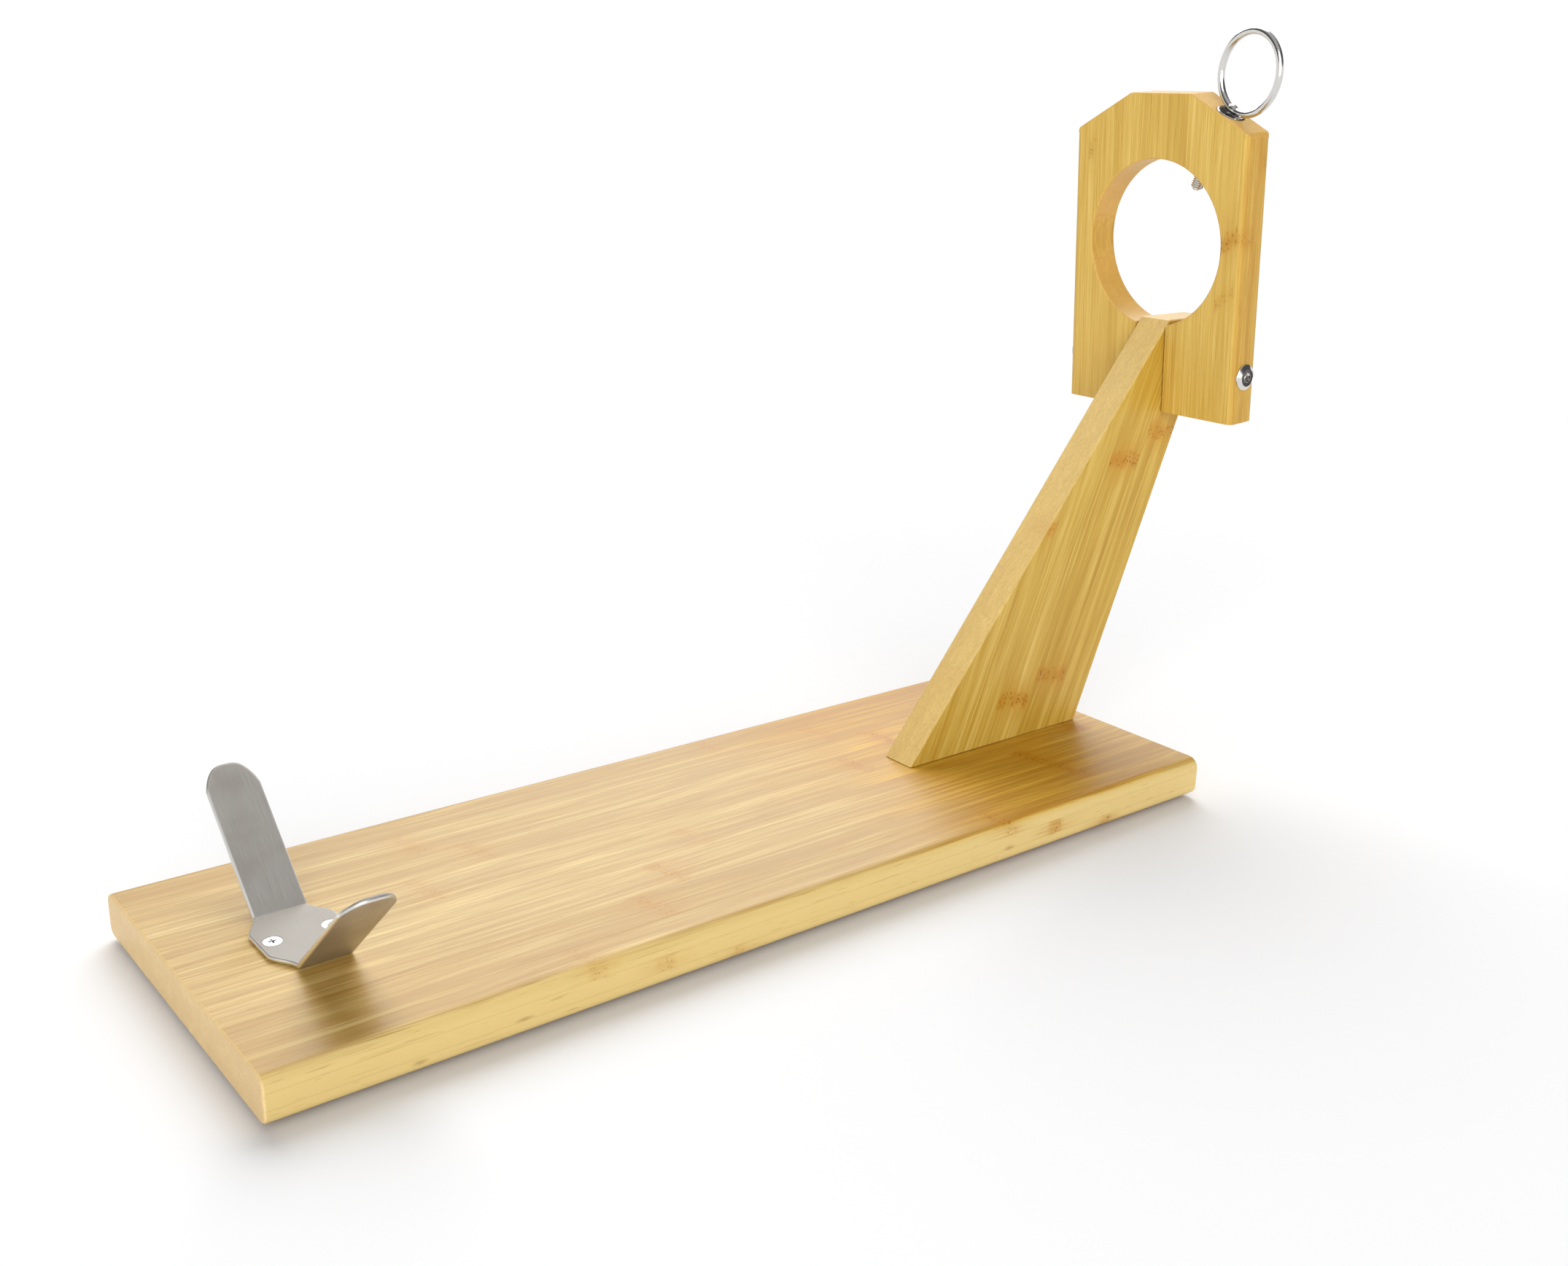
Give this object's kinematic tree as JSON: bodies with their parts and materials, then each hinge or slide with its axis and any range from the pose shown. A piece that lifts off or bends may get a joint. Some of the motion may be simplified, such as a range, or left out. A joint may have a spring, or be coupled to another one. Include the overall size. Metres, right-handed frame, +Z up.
{
  "type": "ham holder stand",
  "caption": "Bamboo board with a leaning post, a tilting ring-shaped head with a pull-ring clamp screw, and a folded steel cradle for the thick end of a ham.",
  "frame": {"origin": "on the ground, at the middle of the overall length and width", "axes": "+X along the board from the cradle to the post, +Y to the far side, +Z up"},
  "size_m": [0.5171, 0.156, 0.3436],
  "materials": {
    "bamboo": "oiled laminated bamboo",
    "satin_steel": "satin stainless sheet",
    "hardware": "bright plated",
    "dowel": "plain turned wood",
    "rubber_foot": "soft translucent grey"
  },
  "bodies": {
    "stand": {"base_board": "bamboo", "foot_front_near": "rubber_foot", "foot_front_far": "rubber_foot", "foot_rear_near": "rubber_foot", "foot_rear_far": "rubber_foot", "post": "bamboo", "post_screw_front": "hardware", "post_screw_rear": "hardware", "post_dowel_front": "dowel", "post_dowel_rear": "dowel", "cradle": "satin_steel", "cradle_screw_front": "hardware", "cradle_screw_rear": "hardware"},
    "head": {"head_plate": "bamboo", "pivot_bolt": "hardware", "pivot_cap_nut": "hardware", "threaded_insert": "hardware"},
    "clamp": {"clamp_screw": "hardware"},
    "ring": {"pull_ring": "hardware"}
  },
  "joints": [
    {"name": "head_tilt", "type": "hinge", "parent": "stand", "child": "head", "pos_m": [0.23175, 0, 0.1914], "axis": [0, 1, 0], "range_deg": [-115, 180]},
    {"name": "screw_advance", "type": "slide", "parent": "head", "child": "clamp", "axis": [-0.0572, -0.4622, 0.8849], "range_m": [0, 0.0305]},
    {"name": "ring_turn", "type": "hinge", "parent": "clamp", "child": "ring", "pos_m": [0.22424, -0.034, 0.30756], "axis": [-0.0572, -0.4622, 0.8849], "range_deg": [0, 10800]}
  ],
  "couplings": [
    {"joint": "screw_advance", "follows": "ring_turn", "m_per_rad": 0.00015915}
  ]
}
